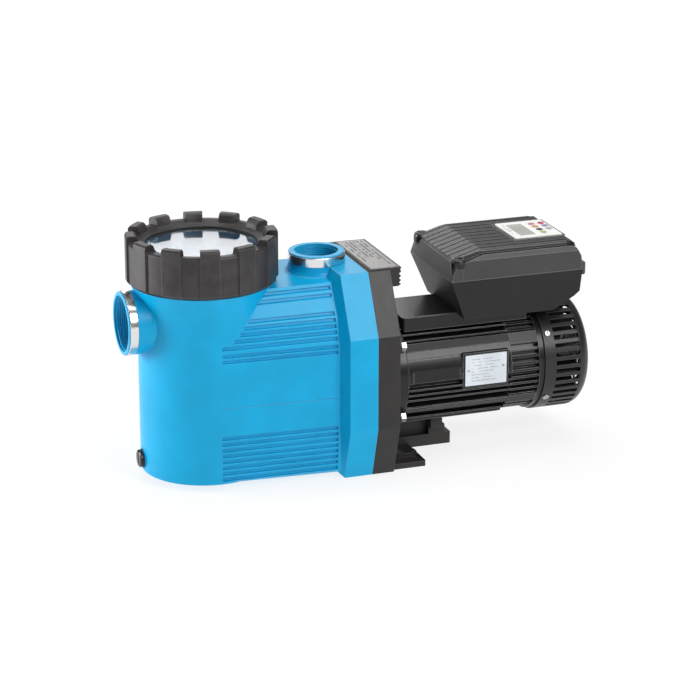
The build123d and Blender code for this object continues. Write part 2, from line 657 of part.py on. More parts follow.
def stator_windings():
    """Copper end turns at both ends of the stator."""
    front = lathe_x([(114, 47), (112, 50), (112, 56), (114, 59), (129.6, 59), (129.6, 45), (116, 45)])
    rear = lathe_x([(240.4, 45), (240.4, 59), (254, 59), (256, 56), (256, 50), (254, 47)])
    return group([front, rear])


def rotor_core():
    """Rotor laminations with end rings and cooling pips."""
    core = tube_x(AIR_GAP_R - 0.5, CORE_SHAFT_R, 130, 240)
    core += tube_x(AIR_GAP_R - 2.5, 30, 124, 130)
    core += tube_x(AIR_GAP_R - 2.5, 30, 240, 246)
    return core


def rear_end_shield():
    """Finned rear shield with bearing seat and a spigot for the fan cover."""
    teeth = 48
    section = Circle(68)
    for k in range(teeth):
        section += Rot(0, 0, 360 * k / teeth) * Pos(38, 0) * Rectangle(74, 3.6)
    plane = Plane(origin=(FRAME_REAR_X, 0, AXIS_Z), x_dir=(0, 1, 0), z_dir=(1, 0, 0))
    shield = extrude(plane * section, amount=REAR_SHIELD_X - FRAME_REAR_X, dir=(1, 0, 0))
    for side in (-1, 1):
        for up in (-1, 1):
            boss = block(FRAME_REAR_X, REAR_SHIELD_X, 62, 77.4, -8, 8)
            shield += Pos(0, 0, AXIS_Z) * Rot(up * TIE_ANGLE + 90 * (1 - side), 0, 0) * boss
    inner_r = FAN_COVER_R - FAN_COVER_WALL
    shield += lathe_x([(REAR_SHIELD_X - 3, 0), (REAR_SHIELD_X - 3, inner_r), (318, inner_r), (318, inner_r - 4),
                       (REAR_SHIELD_X + 3, inner_r - 8), (REAR_SHIELD_X + 3, 0)])
    shield -= tube_x(STATOR_R, 31, FRAME_REAR_X - 1, 290)
    shield -= cyl_x(31, FRAME_REAR_X - 1, REAR_BEARING_X - 3)
    shield -= cyl_x(BEARING_R, REAR_BEARING_X - 4, REAR_BEARING_X + BEARING_WIDTH)
    shield -= cyl_x(13, 260, 320)
    shield -= [cyl_x(3, 250, 308, y, z) for y, z in tie_rod_places()]
    shield -= [cyl_x(6, 306, 320, y, z) for y, z in tie_rod_places()]
    screw_holes = [fan_screw_blank(2.1, 66, turn) for turn in fan_screw_turns()]
    return shield - screw_holes


def fan_screw_turns():
    """Angles of the fan cover's screws about the shaft."""
    return [TIE_ANGLE, -TIE_ANGLE, 180 - TIE_ANGLE, 180 + TIE_ANGLE]


def fan_screw_blank(r, start, turn):
    """Radial cylinder through the fan cover's band at one angle."""
    pin = cyl_y(r, start, FAN_COVER_R + 0.5, 315, 0)
    return Pos(0, 0, AXIS_Z) * Rot(turn, 0, 0) * pin


def tie_rods():
    """Long rods that clamp the two shields to the frame."""
    rods = []
    for y, z in tie_rod_places():
        rods.append(cyl_x(3, 101, 306, y, z) + hexagon_x(9, 306, 310, y, z))
    return group(rods)


def fan_cover():
    """Pressed cover with side slots and a spoked rear grille."""
    r = FAN_COVER_R
    corner = 20.0
    wall = FAN_COVER_WALL
    x_arc = FAN_END_X - corner
    s = math.sin(math.radians(45))

    def skin(radius, corner_r, end_x):
        edge = Polyline((end_x, 0), (FAN_COVER_X - 5, 0), (FAN_COVER_X - 5, radius), (x_arc, radius))
        arc = ThreePointArc((x_arc, radius), (x_arc + corner_r * s, radius - corner + corner_r * s),
                            (end_x, radius - corner_r))
        face = Line((end_x, radius - corner_r), (end_x, 0))
        return Pos(0, 0, AXIS_Z) * revolve(Plane.XZ * make_face([edge, arc, face]), Axis.X)

    outer = skin(r, corner, FAN_END_X)
    inner = skin(r - wall, corner - wall, FAN_END_X - wall)
    cover = outer - inner - block(FAN_COVER_X - 20, FAN_COVER_X, -100, 100, 0, 240)
    slots = []
    slot_pairs = 21
    for k in range(slot_pairs):
        bar = block(324, 361, -100, 100, -3.3, 3.3)
        slots.append(Pos(0, 0, AXIS_Z) * Rot(180.0 * (k + 0.5) / slot_pairs, 0, 0) * bar)
    cover = cover - slots
    plane = Plane(origin=(FAN_END_X - 6, 0, AXIS_Z), x_dir=(0, 1, 0), z_dir=(1, 0, 0))
    grille = Circle(57) - Circle(52)
    for radius in (47, 37, 27, 17):
        grille += Circle(radius) - Circle(radius - 5)
    for k in range(6):
        grille -= Rot(0, 0, 30 * k) * Rectangle(130, 4)
    cover -= extrude(plane * grille, amount=12, dir=(1, 0, 0))
    return cover - [fan_screw_blank(2.1, 66, turn) for turn in fan_screw_turns()]


def fan_cover_screws():
    """Pan-head screws that hold the fan cover."""
    screws = []
    for turn in fan_screw_turns():
        head = cyl_y(4.6, FAN_COVER_R, FAN_COVER_R + 2.2, 315, 0)
        head = fillet(head.edges().group_by(Axis.Y)[-1], 1.2)
        head -= block(314.5, 315.5, FAN_COVER_R + 1.2, FAN_COVER_R + 4, -3, 3)
        pin = cyl_y(2.1, 67, FAN_COVER_R, 315, 0)
        screws.append(Pos(0, 0, AXIS_Z) * Rot(turn, 0, 0) * (head + pin))
    return group(screws)


def cooling_fan():
    """Radial-bladed fan on the tail of the shaft."""
    fan = lathe_x([(316, TAIL_R), (316, 14), (322, 42), (322, 70), (324, 70), (324, 42), (338, 14),
                   (338, TAIL_R)])
    blade = prism_y([(322, 12), (322, 70), (327, 73), (360, 73), (368, 66), (366, 36), (340, 12)], -1.3, 1.3)
    blades = [Pos(0, 0, AXIS_Z) * Rot(360 * k / 11, 0, 0) * blade for k in range(11)]
    return joined([fan] + blades)


def fan_clip():
    """Circlip that keeps the fan on the shaft."""
    clip = tube_x(10.5, TAIL_R, 338.2, 339.6)
    return clip - block(337, 341, -2.5, 2.5, AXIS_Z, AXIS_Z + 12)


def rating_plate():
    """Metal plate on the side flat of the motor frame."""
    plate = block(189, 250, -PLATE_SEAT_Y - 1.2, -PLATE_SEAT_Y, 109, 153)
    return fillet(plate.edges().filter_by(Axis.Y), 1)


def plate_rivets():
    """Rivets of the rating plate."""
    return group([cyl_y(1.6, -78.4, -77.6, x, z) for x, z in ((194, 131), (245, 134))])


def inverter_bracket():
    """Cast pad that carries the inverter on top of the motor."""
    pad = block(108.5, 292, -45.5, 45.5, 170, BRACKET_TOP_Z)
    pad = fillet(pad.edges().filter_by(Axis.Z).group_by(Axis.X)[0], 5)
    pad = chamfer(pad.edges().group_by(Axis.Z)[-1], 0.8)
    pad -= cyl_x(FRAME_R, 80, 300)
    return pad - inverter_shell()


# ---------------------------------------------------------------- inverter
def inverter_shell():
    """Outside of the inverter's lower casing."""
    side = prism_y([(190, BASE_BOTTOM_Z), (322, BASE_BOTTOM_Z), (351, 221), (359, 228), (360, SEAM_Z),
                    (COVER_FRONT_X, SEAM_Z)], -80, 80)
    taper = prism_x(outline([(69.5, BASE_BOTTOM_Z - 1), (79, SEAM_Z)]), 150, 370)
    return side & taper


def inverter_base():
    """Lower casing of the inverter, open at the top."""
    cavity = prism_y([(196, BASE_BOTTOM_Z + 4), (320, BASE_BOTTOM_Z + 4), (348, 224), (354, 231),
                      (355, SEAM_Z + 1), (174, SEAM_Z + 1)], -80, 80)
    cavity = cavity & prism_x(outline([(65.5, BASE_BOTTOM_Z), (74.6, SEAM_Z + 1)]), 150, 370)
    posts = [cyl_z(6, BASE_BOTTOM_Z, SEAM_Z - 1.5, x, y) for x, y in inverter_screw_places()]
    base = inverter_shell() - (cavity - posts)
    base = base - [cyl_z(1.8, 236, SEAM_Z + 1, x, y) for x, y in inverter_screw_places()]
    base -= cyl_y(9.0, 60, 90, 240, 238)
    groove = rim_band(3.4, 1.2)
    return base - Pos(0, 0, SEAM_Z - 1.2) * groove


def rim_band(inset, height):
    """Band that follows the seam, inset from the inverter's outer face."""
    rim = Pos((COVER_FRONT_X + 360) / 2, 0) * Rectangle(360 - COVER_FRONT_X, 158)
    band = offset(rim, -inset + 1.4) - offset(rim, -inset - 0.2)
    return extrude(band, amount=height, dir=(0, 0, 1))


def inverter_gasket():
    """Seal in the groove of the inverter's lower casing."""
    return Pos(0, 0, SEAM_Z - 1.2) * rim_band(3.4, 1.2)


def inverter_screw_places():
    """Centres of the four cover screws."""
    return [(180, -69), (180, 69), (345, -68), (345, 68)]


def inverter_cover():
    """Ribbed upper casing with corner bosses, rear ears and a keypad recess."""
    lower = prism_y([(COVER_FRONT_X, SEAM_Z), (360, SEAM_Z), (358, 280), (352, 291), (346, 294), (214, 294),
                     (174.5, 283)], -79, 79)
    lower = lower & prism_x(outline([(79, SEAM_Z), (78.2, 288), (74, 294.5)]), 150, 370)
    top = prism_y([(178, 270), (175, 289), (213, COVER_TOP_Z), (347, COVER_TOP_Z), (352, 296),
                   (355, 285), (355, 270)], -68, 68)
    top = chamfer(top.edges().group_by(Axis.Z)[-1].filter_by(Axis.X), 2)
    cover = lower + top
    for y in [-60 + 15 * k for k in range(9)]:
        rear_x = 272.0 if abs(y) < KEYPAD_HALF + 6 else 349.0
        cover -= prism_y([(188, 290), (172, 285.4), (172, 320), (rear_x, 320),
                          (rear_x, COVER_TOP_Z - 2.4), (213.5, COVER_TOP_Z - 2.4)], y - 2, y + 2)
    for x, y in inverter_screw_places():
        boss = cyl_z(10.5, SEAM_Z, 288, x, y)
        cover += fillet(boss.edges().group_by(Axis.Z)[-1], 2)
    ears = block(348, 365, -77, -60, 252, 271)
    ears += block(348, 365, 60, 77, 252, 271)
    ears = fillet(ears.edges().filter_by(Axis.Y), 3)
    ears = ears - block(340, 361.5, -80, 80, 250, SEAM_Z)
    cover = cover + ears
    frame_pad = block(KEYPAD[0] - 3, KEYPAD[1] + 3, -KEYPAD_HALF - 3, KEYPAD_HALF + 3, 290, COVER_TOP_Z + 0.6)
    cover += fillet(frame_pad.edges().filter_by(Axis.Z), 3)
    cavity = prism_y([(171, SEAM_Z - 1), (354, SEAM_Z - 1), (352, 279), (347, 288.5), (214, 288.5),
                      (179, 278)], -70, 70)
    posts = [cyl_z(9, SEAM_Z - 2, 300, x, y) for x, y in inverter_screw_places()]
    cover = cover - (cavity - posts)
    x0, x1 = KEYPAD
    cover -= block(x0 - 0.3, x1 + 0.3, -KEYPAD_HALF - 0.3, KEYPAD_HALF + 0.3, KEY_TRAVEL_FLOOR_Z, 310)
    cover -= [cyl_z(1.8, SEAM_Z - 1, 300, x, y) for x, y in inverter_screw_places()]
    return cover - [cyl_z(5.6, 283.5, 300, x, y) for x, y in inverter_screw_places()]


def inverter_screws():
    """Cap screws in the cover's corner bosses."""
    screws = []
    for x, y in inverter_screw_places():
        head = cyl_z(4.6, 283.5, 288.5, x, y) - cyl_z(2.2, 285.5, 289, x, y)
        screws.append(head + cyl_z(1.8, 238, 283.5, x, y))
    return group(screws)


def control_board():
    """Circuit board with its power module and smoothing capacitors."""
    board = block(196, 312, -54, 54, 232, 234)
    board += block(215, 275, -30, 30, 234, 242)
    board += block(285, 300, -40, 10, 234, 246)
    posts = [cyl_z(3, BASE_BOTTOM_Z + 4, 232, x, y) for x in (203, 307) for y in (-49, 49)]
    capacitors = [cyl_z(9, 234, 268, x, 42) for x in (215, 236, 257, 278)]
    return joined([board] + posts + capacitors)


def keypad_panel():
    """Label plate with openings for the display and the keys."""
    x0, x1 = KEYPAD
    panel = block(x0, x1, -KEYPAD_HALF, KEYPAD_HALF, KEYPAD_Z - 1.6, KEYPAD_Z)
    panel = fillet(panel.edges().filter_by(Axis.Z), 3)
    panel += block(x0, x0 + 3, -30, 30, KEY_TRAVEL_FLOOR_Z, KEYPAD_Z - 1)
    panel += block(x1 - 3, x1, -30, 30, KEY_TRAVEL_FLOOR_Z, KEYPAD_Z - 1)
    panel += block(314, 317, -34, 34, KEY_TRAVEL_FLOOR_Z, KEYPAD_Z - 1)
    panel -= block(289, 312, -28, 28, 290, 310)
    return panel - [cyl_z(KEY_R + 0.4, 290, 310, x, y) for x, y in KEYS.values()]


def display_window():
    """Clear window of the display."""
    return block(289, 312, -28, 28, KEYPAD_Z - 2.2, KEYPAD_Z - 0.2)


def key_cap(x, y):
    """One round key with a domed top."""
    key = cyl_z(KEY_R, KEY_TRAVEL_FLOOR_Z + 0.9, KEYPAD_Z + 0.9, x, y)
    return fillet(key.edges().group_by(Axis.Z)[-1], 0.5)


def cable_gland():
    """Cable entry with a hexagon collar and a domed nut."""
    gland = Plane(origin=(240, 79.5, 238), z_dir=(0, 1, 0)) * extrude(RegularPolygon(13, 6), amount=5)
    gland += cyl_y(9.0, 70, 80, 240, 238)
    gland += cyl_y(11, 84, 90, 240, 238)
    dome = cyl_y(10.4, 90, 99, 240, 238)
    gland += fillet(dome.edges().group_by(Axis.Y)[-1], 3)
    return gland - cyl_y(5.0, 60, 100, 240, 238)


# ---------------------------------------------------------------- assembly
def pieces():
    """Every node by name, in the pump's own stations."""
    nodes = {
        "pump_housing": pump_housing(),
        "suction_insert": suction_insert(),
        "discharge_insert": discharge_insert(),
        "suction_ring": suction_ring(),
        "discharge_ring": discharge_ring(),
        "strainer_lid": strainer_lid(),
        "lid_seal": lid_seal(),
        "lid_ring": lid_ring(),
        "strainer_basket": strainer_basket(),
        "tank_drain_plug": drain_plug(),
        "tank_drain_seal": drain_seal(),
        "casing_drain_plug": drain_plug(along_y=True),
        "casing_drain_seal": drain_seal(along_y=True),
        "casing_gasket": gasket_ring(),
        "diffuser": diffuser(),
        "diffuser_seal": diffuser_seal(),
        "impeller": impeller(),
        "impeller_nut": impeller_nut(),
        "seal_seat": seal_seat(),
        "seal_head": seal_head(),
        "adaptor": adaptor(),
        "adaptor_screws": adaptor_screws(),
        "pump_nameplate": pump_nameplate(),
        "support_foot": support_foot(),
        "shaft": shaft(),
        "drive_end_shield": drive_end_shield(),
        "shield_bolts": shield_bolts(),
        "front_bearing_outer": bearing_ring(FRONT_BEARING_X, BEARING_R, 20),
        "front_bearing_inner": bearing_ring(FRONT_BEARING_X, 13.5, SHAFT_R),
        "motor_frame": motor_frame(),
        "stator_core": stator_core(),
        "stator_windings": stator_windings(),
        "rotor_core": rotor_core(),
        "rear_end_shield": rear_end_shield(),
        "rear_bearing_outer": bearing_ring(REAR_BEARING_X, BEARING_R, 20),
        "rear_bearing_inner": bearing_ring(REAR_BEARING_X, 13.5, SHAFT_R),
        "bearing_balls": bearing_balls(),
        "cooling_fan": cooling_fan(),
        "fan_clip": fan_clip(),
        "fan_cover": fan_cover(),
        "fan_cover_screws": fan_cover_screws(),
        "tie_rods": tie_rods(),
        "rating_plate": rating_plate(),
        "plate_rivets": plate_rivets(),
        "inverter_bracket": inverter_bracket(),
        "inverter_base": inverter_base(),
        "inverter_gasket": inverter_gasket(),
        "inverter_cover": inverter_cover(),
        "inverter_screws": inverter_screws(),
        "control_board": control_board(),
        "keypad_panel": keypad_panel(),
        "display_window": display_window(),
        "cable_gland": cable_gland(),
    }
    for name, (x, y) in KEYS.items():
        nodes[name] = key_cap(x, y)
    return nodes


def main():
    """Write one STEP file for each node."""
    os.makedirs("parts", exist_ok=True)
    for name, shape in pieces().items():
        export_step(Pos(-MID_X, 0, -FLOOR_Z) * shape, f"parts/{name}.step")


main()
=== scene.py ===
import json
import math
import random

import bpy
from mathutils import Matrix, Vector


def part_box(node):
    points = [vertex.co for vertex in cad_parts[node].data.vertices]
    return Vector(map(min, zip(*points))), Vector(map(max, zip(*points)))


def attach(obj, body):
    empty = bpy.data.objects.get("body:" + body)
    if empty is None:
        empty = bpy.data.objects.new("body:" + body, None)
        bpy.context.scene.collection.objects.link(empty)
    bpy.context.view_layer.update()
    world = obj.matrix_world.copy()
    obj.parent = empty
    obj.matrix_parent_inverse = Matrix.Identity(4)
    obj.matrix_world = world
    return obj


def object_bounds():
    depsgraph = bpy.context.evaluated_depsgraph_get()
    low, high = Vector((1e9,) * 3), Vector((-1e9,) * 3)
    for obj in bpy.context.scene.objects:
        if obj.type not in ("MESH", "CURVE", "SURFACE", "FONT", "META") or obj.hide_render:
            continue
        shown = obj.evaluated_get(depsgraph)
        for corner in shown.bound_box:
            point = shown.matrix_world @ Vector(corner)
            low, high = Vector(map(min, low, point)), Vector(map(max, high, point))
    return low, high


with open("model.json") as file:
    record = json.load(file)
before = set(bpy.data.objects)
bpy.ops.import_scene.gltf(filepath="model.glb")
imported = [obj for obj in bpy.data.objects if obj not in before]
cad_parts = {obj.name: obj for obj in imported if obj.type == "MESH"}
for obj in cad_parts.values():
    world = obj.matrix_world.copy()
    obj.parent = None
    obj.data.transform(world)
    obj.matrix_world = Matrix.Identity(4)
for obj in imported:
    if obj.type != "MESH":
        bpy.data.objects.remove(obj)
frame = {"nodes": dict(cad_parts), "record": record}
cad_low, cad_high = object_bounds()
MM = 0.001

CAMERA_AZIMUTH = math.radians(-19.7)
CAMERA_ELEVATION = math.radians(18.56)
CAMERA_DISTANCE = 3.588
CAMERA_LENS = 134.1
CAMERA_REACH = 60
AIM_SHIFT = Vector((-0.0037, 0, -0.0211))

WORLD_STRENGTH = 0.2
FLOOR_HALF = 30
FLOOR_GREY = 0.22
FLOOR_GLOW = (0.79, 1.0)
FLOOR_GLOW_FROM, FLOOR_GLOW_TO = 1.0, 2.6

GRAIN_SCALE = 1500
GRAIN_HEIGHT = 0.2 * MM
ROUGHNESS_SPREAD = 0.06
ROUGHNESS_LUMPS = 6
COAT_ROUGHNESS = 0.1
SHARP_TURN = 0.9

PRINT_FOOT = 0.03 * MM
PRINT_THICKNESS = 0.05 * MM
PRINT_SPACE = 1.2 * MM
SCREW_HEAD_R = 4.6 * MM
BOX_FACES = ((3, 2, 1, 0), (4, 5, 6, 7), (0, 1, 5, 4), (1, 2, 6, 5), (2, 3, 7, 6), (3, 0, 4, 7))

KEY_COLOURS = {
    "key_red": (0.55, 0.05, 0.10),
    "key_rose": (0.58, 0.24, 0.30),
    "key_orange": (0.66, 0.32, 0.12),
    "key_violet": (0.36, 0.24, 0.44),
    "key_dark": (0.07, 0.08, 0.10),
    "key_grey": (0.40, 0.41, 0.42),
    "key_olive": (0.44, 0.47, 0.16),
}


# ---------------------------------------------------------------- camera and studio
def add_camera():
    """Long-lens camera at the front left, looking slightly down."""
    target = (cad_low + cad_high) / 2 + AIM_SHIFT
    level = math.cos(CAMERA_ELEVATION)
    back = Vector((math.sin(CAMERA_AZIMUTH) * level, -math.cos(CAMERA_AZIMUTH) * level,
                   math.sin(CAMERA_ELEVATION)))
    data = bpy.data.cameras.new("camera")
    data.lens = CAMERA_LENS
    data.clip_end = CAMERA_REACH
    camera = bpy.data.objects.new("camera", data)
    camera.location = target + back * CAMERA_DISTANCE
    camera.rotation_euler = (-back).to_track_quat("-Z", "Y").to_euler()
    bpy.context.scene.collection.objects.link(camera)
    bpy.context.scene.camera = camera


def add_light(name, place, size, power):
    """Soft rectangular lamp aimed at the middle of the pump."""
    aim = (cad_low + cad_high) / 2
    data = bpy.data.lights.new(name, "AREA")
    data.shape = "RECTANGLE"
    data.size, data.size_y = size
    data.energy = power
    lamp = bpy.data.objects.new(name, data)
    lamp.location = place
    lamp.rotation_euler = (aim - Vector(place)).to_track_quat("-Z", "Y").to_euler()
    bpy.context.scene.collection.objects.link(lamp)


def add_floor():
    """Pale floor that glows a little more away from the pump, where the lamps fade."""
    mesh = bpy.data.meshes.new("floor")
    half = FLOOR_HALF
    corners = [(-half, -half, 0), (half, -half, 0), (half, half, 0), (-half, half, 0)]
    mesh.from_pydata(corners, [], [(0, 1, 2, 3)])
    floor = bpy.data.objects.new("floor", mesh)
    bpy.context.scene.collection.objects.link(floor)
    material, tree, shader = new_material("floor_paper")
    shader.inputs["Base Color"].default_value = (FLOOR_GREY, FLOOR_GREY, FLOOR_GREY, 1)
    shader.inputs["Roughness"].default_value = 0.8
    shader.inputs["Specular IOR Level"].default_value = 0.1
    shader.inputs["Emission Color"].default_value = (1, 1, 1, 1)
    place = tree.nodes.new("ShaderNodeTexCoord")
    distance = tree.nodes.new("ShaderNodeVectorMath")
    distance.operation = "LENGTH"
    tree.links.new(place.outputs["Object"], distance.inputs[0])
    glow = tree.nodes.new("ShaderNodeMapRange")
    glow.inputs["From Min"].default_value = FLOOR_GLOW_FROM
    glow.inputs["From Max"].default_value = FLOOR_GLOW_TO
    glow.inputs["To Min"].default_value = FLOOR_GLOW[0]
    glow.inputs["To Max"].default_value = FLOOR_GLOW[1]
    tree.links.new(distance.outputs["Value"], glow.inputs["Value"])
    tree.links.new(glow.outputs["Result"], shader.inputs["Emission Strength"])
    mesh.materials.append(material)


def add_studio():
    """Soft lamps, pale surroundings and a pale floor, shown in plain sRGB colours."""
    bpy.context.scene.view_settings.view_transform = "Standard"
    add_light("key", (0.9, -2.3, 1.75), (1.3, 1.3), 43)
    add_light("top", (0.1, 0.1, 2.5), (2.4, 1.6), 34)
    add_light("left", (-2.1, 0.8, 0.5), (0.8, 1.0), 42)
    add_light("back", (0.1, 2.6, 1.2), (1.95, 1.5), 15)
    world = bpy.data.worlds.new("studio")
    world.use_nodes = True
    background = world.node_tree.nodes["Background"]
    background.inputs["Color"].default_value = (1, 1, 1, 1)
    background.inputs["Strength"].default_value = WORLD_STRENGTH
    bpy.context.scene.world = world
    add_floor()


# ---------------------------------------------------------------- materials
def new_material(name):
    """Empty Principled material, its node tree and its shader."""
    material = bpy.data.materials.new(name)
    material.use_nodes = True
    tree = material.node_tree
    return material, tree, tree.nodes["Principled BSDF"]


def noise(tree, scale, detail, stretch=(1, 1, 1)):
    """Noise in the piece's own coordinates; scale is in lumps per metre."""
    place = tree.nodes.new("ShaderNodeTexCoord")
    mapping = tree.nodes.new("ShaderNodeMapping")
    mapping.inputs["Scale"].default_value = stretch
    texture = tree.nodes.new("ShaderNodeTexNoise")
    texture.inputs["Scale"].default_value = scale
    texture.inputs["Detail"].default_value = detail
    tree.links.new(place.outputs["Object"], mapping.inputs["Vector"])
    tree.links.new(mapping.outputs["Vector"], texture.inputs["Vector"])
    return texture.outputs["Fac"]


def spread(tree, factor, low, high):
    """Value that goes from low to high with a factor."""
    node = tree.nodes.new("ShaderNodeMapRange")
    node.inputs["To Min"].default_value = low
    node.inputs["To Max"].default_value = high
    tree.links.new(factor, node.inputs["Value"])
    return node.outputs["Result"]


def ramp(tree, factor, low, high):
    """Two-colour ramp over the middle of a factor."""
    node = tree.nodes.new("ShaderNodeValToRGB")
    for end, position, colour in zip(node.color_ramp.elements, (0.35, 0.65), (low, high)):
        end.position = position
        end.color = (*colour, 1)
    tree.links.new(factor, node.inputs["Fac"])
    return node.outputs["Color"]


def edge_highlight_mask(tree, rounded, strength):
    """Rises to strength where the rounded normal leaves the true one, as it does at edges; it places a
    painted highlight along edges.
    """
    geometry = tree.nodes.new("ShaderNodeNewGeometry")
    dot = tree.nodes.new("ShaderNodeVectorMath")
    dot.operation = "DOT_PRODUCT"
    tree.links.new(geometry.outputs["Normal"], dot.inputs[0])
    tree.links.new(rounded, dot.inputs[1])
    turn = tree.nodes.new("ShaderNodeMapRange")
    turn.inputs["From Min"].default_value = 1.0
    turn.inputs["From Max"].default_value = SHARP_TURN
    turn.inputs["To Max"].default_value = strength
    tree.links.new(dot.outputs["Value"], turn.inputs["Value"])
    return turn.outputs["Result"]


def mix_colour(tree, factor, first, second):
    """Colour that goes from the first to the second by a factor."""
    node = tree.nodes.new("ShaderNodeMix")
    node.data_type = "RGBA"
    tree.links.new(factor, node.inputs["Factor"])
    tree.links.new(first, node.inputs["A"])
    node.inputs["B"].default_value = (*second, 1)
    return node.outputs["Result"]


def surface(name, colour, roughness, vary=0.08, lump=25, bump=0.05, bevel=0.6, edge_highlight=0.2, metallic=0.0,
            coat=0.0, specular=0.5, stretch=(1, 1, 1), edge_highlight_colour=None):
    """Moulded, painted or metal surface with mottling, grain, soft edges and a painted highlight along
    edges; bevel in mm.
    """
    material, tree, shader = new_material(name)
    dark = tuple(c * (1 - vary) for c in colour)
    light = tuple(min(1.0, c * (1 + vary)) for c in colour)
    base = ramp(tree, noise(tree, lump, 3), dark, light)
    soft = tree.nodes.new("ShaderNodeBevel")
    soft.samples = 4
    soft.inputs["Radius"].default_value = bevel * MM
    # Edges get a lighter colour: a painted highlight, standing in for light caught on rounded edges.
    highlight_colour = edge_highlight_colour or tuple(min(1.0, c * 1.5 + 0.05) for c in colour)
    if edge_highlight:
        base = mix_colour(tree, edge_highlight_mask(tree, soft.outputs["Normal"], edge_highlight), base, highlight_colour)
    tree.links.new(base, shader.inputs["Base Color"])
    relief = tree.nodes.new("ShaderNodeBump")
    relief.inputs["Strength"].default_value = bump
    relief.inputs["Distance"].default_value = GRAIN_HEIGHT
    tree.links.new(noise(tree, GRAIN_SCALE, 3, stretch), relief.inputs["Height"])
    tree.links.new(soft.outputs["Normal"], relief.inputs["Normal"])
    tree.links.new(relief.outputs["Normal"], shader.inputs["Normal"])
    rough = spread(tree, noise(tree, lump * ROUGHNESS_LUMPS, 4), roughness - ROUGHNESS_SPREAD,
                   roughness + ROUGHNESS_SPREAD)
    tree.links.new(rough, shader.inputs["Roughness"])
    shader.inputs["Metallic"].default_value = metallic
    shader.inputs["Coat Weight"].default_value = coat
    shader.inputs["Coat Roughness"].default_value = COAT_ROUGHNESS
    shader.inputs["Specular IOR Level"].default_value = specular
    return material


def clear_plastic(name, tint, roughness, solid_share, coat_ior):
    """Clear plastic with a faint haze; solid_share is how much of the light it bends or reflects."""
    material, tree, shader = new_material(name)
    shader.inputs["Base Color"].default_value = (*tint, 1)
    shader.inputs["Transmission Weight"].default_value = 1.0
    shader.inputs["IOR"].default_value = 1.45
    shader.inputs["Alpha"].default_value = solid_share
    shader.inputs["Coat Weight"].default_value = 1.0
    shader.inputs["Coat IOR"].default_value = coat_ior
    shader.inputs["Coat Roughness"].default_value = 0.03
    haze = spread(tree, noise(tree, 60, 3), roughness, roughness + 0.05)
    tree.links.new(haze, shader.inputs["Roughness"])
    return material


